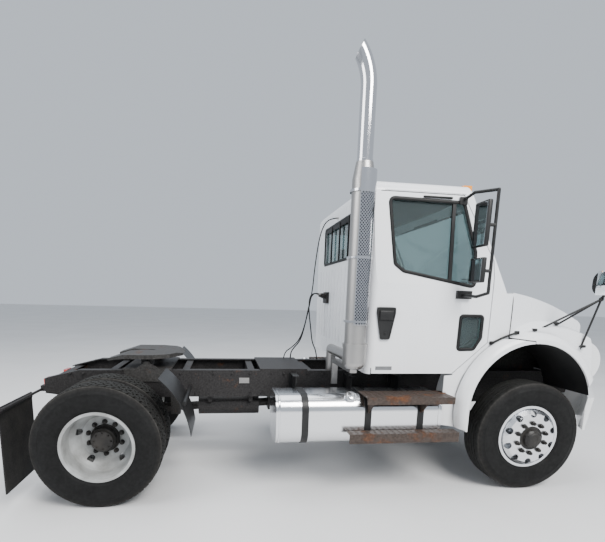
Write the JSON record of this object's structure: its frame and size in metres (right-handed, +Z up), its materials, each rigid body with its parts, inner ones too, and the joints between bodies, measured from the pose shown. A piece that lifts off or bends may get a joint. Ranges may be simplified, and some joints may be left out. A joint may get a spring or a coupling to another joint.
{
  "type": "semi truck tractor unit",
  "caption": "Two-axle road tractor with a day cab, tilting bonnet with built-in wings, twin rear tyres, fifth wheel coupling and one upright exhaust stack.",
  "frame": {"origin": "on the ground below the middle of the overall box", "axes": "+X to the front, +Y to the vehicle's left, +Z up"},
  "size_m": [5.582, 2.772, 3.7],
  "materials": {
    "cab_white": "gloss white paint, weathered",
    "frame_black": "black chassis paint with rust",
    "axle_black": "dark castings with rust",
    "polished": "polished aluminium",
    "rim_white": "painted steel rim",
    "chrome": "bright chrome",
    "exhaust": "aluminised steel",
    "tyre": "black tyre",
    "black_plastic": "black plastic",
    "rubber": "black rubber",
    "glass": "clear glass",
    "lamp": "clear lens",
    "amber": "amber lens",
    "red": "red lens",
    "step": "worn steel",
    "seat": "grey cloth",
    "interior": "dark grey plastic",
    "coupler": "greased cast steel"
  },
  "bodies": {
    "chassis": {"air_bags": "rubber", "air_tanks": "frame_black", "battery_box": "frame_black", "cab_back_wall": "cab_white", "cab_floor": "cab_white", "cab_roof": "cab_white", "cab_sides": "cab_white", "cab_windows": "glass", "crossmembers": "frame_black", "dashboard": "interior", "drive_shaft": "axle_black", "engine_and_gearbox": "axle_black", "fifth_wheel_mount": "coupler", "frame_brackets": "frame_black", "frame_rails": "frame_black", "front_axle": "axle_black", "front_bumper": "cab_white", "fuel_tanks": "polished", "heat_shield": "chrome", "line_holder": "frame_black", "mudflaps": "rubber", "muffler": "exhaust", "quarter_fenders": "black_plastic", "radiator": "frame_black", "rear_axle": "axle_black", "rear_wings": "cab_white", "roof_lamps": "amber", "seats": "seat", "side_steps": "step", "stack_pipe": "chrome", "steering_wheel": "interior", "suspension": "axle_black", "tail_lamps": "red", "tank_straps": "black_plastic", "windscreen_frame": "cab_white"},
    "hood": {"hood": "cab_white", "headlamps": "lamp", "grille": "chrome", "hood_mirrors": "black_plastic"},
    "door_left": {"door_left": "cab_white", "door_glass_left": "glass", "door_fittings_left": "black_plastic"},
    "door_right": {"door_right": "cab_white", "door_glass_right": "glass", "door_fittings_right": "black_plastic"},
    "knuckle_left": {"knuckle_left": "axle_black"},
    "knuckle_right": {"knuckle_right": "axle_black"},
    "tie_rod": {"tie_rod": "axle_black"},
    "front_wheel_left": {"front_tyre_left": "tyre", "front_wheel_left": "polished"},
    "front_wheel_right": {"front_tyre_right": "tyre", "front_wheel_right": "polished"},
    "rear_wheels_left": {"rear_tyres_left": "tyre", "rear_wheels_left": "rim_white"},
    "rear_wheels_right": {"rear_tyres_right": "tyre", "rear_wheels_right": "rim_white"},
    "fifth_wheel": {"fifth_wheel_plate": "coupler"}
  },
  "joints": [
    {"name": "hood_tilt", "type": "hinge", "parent": "chassis", "child": "hood", "pos_m": [2.693, 0, 0.96], "axis": [0, 1, 0], "range_deg": [0, 60]},
    {"name": "door_right_swing", "type": "hinge", "parent": "chassis", "child": "door_right", "pos_m": [1.292, -1.098, 1.8], "axis": [0, 0, 1], "range_deg": [0, 65]},
    {"name": "door_left_swing", "type": "hinge", "parent": "chassis", "child": "door_left", "pos_m": [1.292, 1.098, 1.8], "axis": [0, 0, -1], "range_deg": [0, 65]},
    {"name": "steer_right", "type": "hinge", "parent": "chassis", "child": "knuckle_right", "pos_m": [1.778, -0.85, 0.52], "axis": [0, 0, 1], "range_deg": [-36, 36]},
    {"name": "steer_left", "type": "hinge", "parent": "chassis", "child": "knuckle_left", "pos_m": [1.778, 0.85, 0.52], "axis": [0, 0, 1], "range_deg": [-36, 36]},
    {"name": "tie_rod_swing", "type": "hinge", "parent": "knuckle_right", "child": "tie_rod", "pos_m": [1.548, -0.85, 0.385], "axis": [0, 0, 1], "range_deg": [-36, 36]},
    {"name": "front_wheel_right_spin", "type": "hinge", "parent": "knuckle_right", "child": "front_wheel_right", "pos_m": [1.778, -1.033, 0.52], "axis": [0, 1, 0], "continuous": true},
    {"name": "front_wheel_left_spin", "type": "hinge", "parent": "knuckle_left", "child": "front_wheel_left", "pos_m": [1.778, 1.033, 0.52], "axis": [0, 1, 0], "continuous": true},
    {"name": "rear_wheels_right_spin", "type": "hinge", "parent": "chassis", "child": "rear_wheels_right", "pos_m": [-2.082, -0.909, 0.52], "axis": [0, 1, 0], "continuous": true},
    {"name": "rear_wheels_left_spin", "type": "hinge", "parent": "chassis", "child": "rear_wheels_left", "pos_m": [-2.082, 0.909, 0.52], "axis": [0, 1, 0], "continuous": true},
    {"name": "fifth_wheel_rock", "type": "hinge", "parent": "chassis", "child": "fifth_wheel", "pos_m": [-1.802, 0, 1.085], "axis": [0, 1, 0], "range_deg": [-10, 12]}
  ],
  "couplings": [
    {"joint": "steer_left", "follows": "steer_right", "ratio": 1},
    {"joint": "tie_rod_swing", "follows": "steer_right", "ratio": -1}
  ]
}
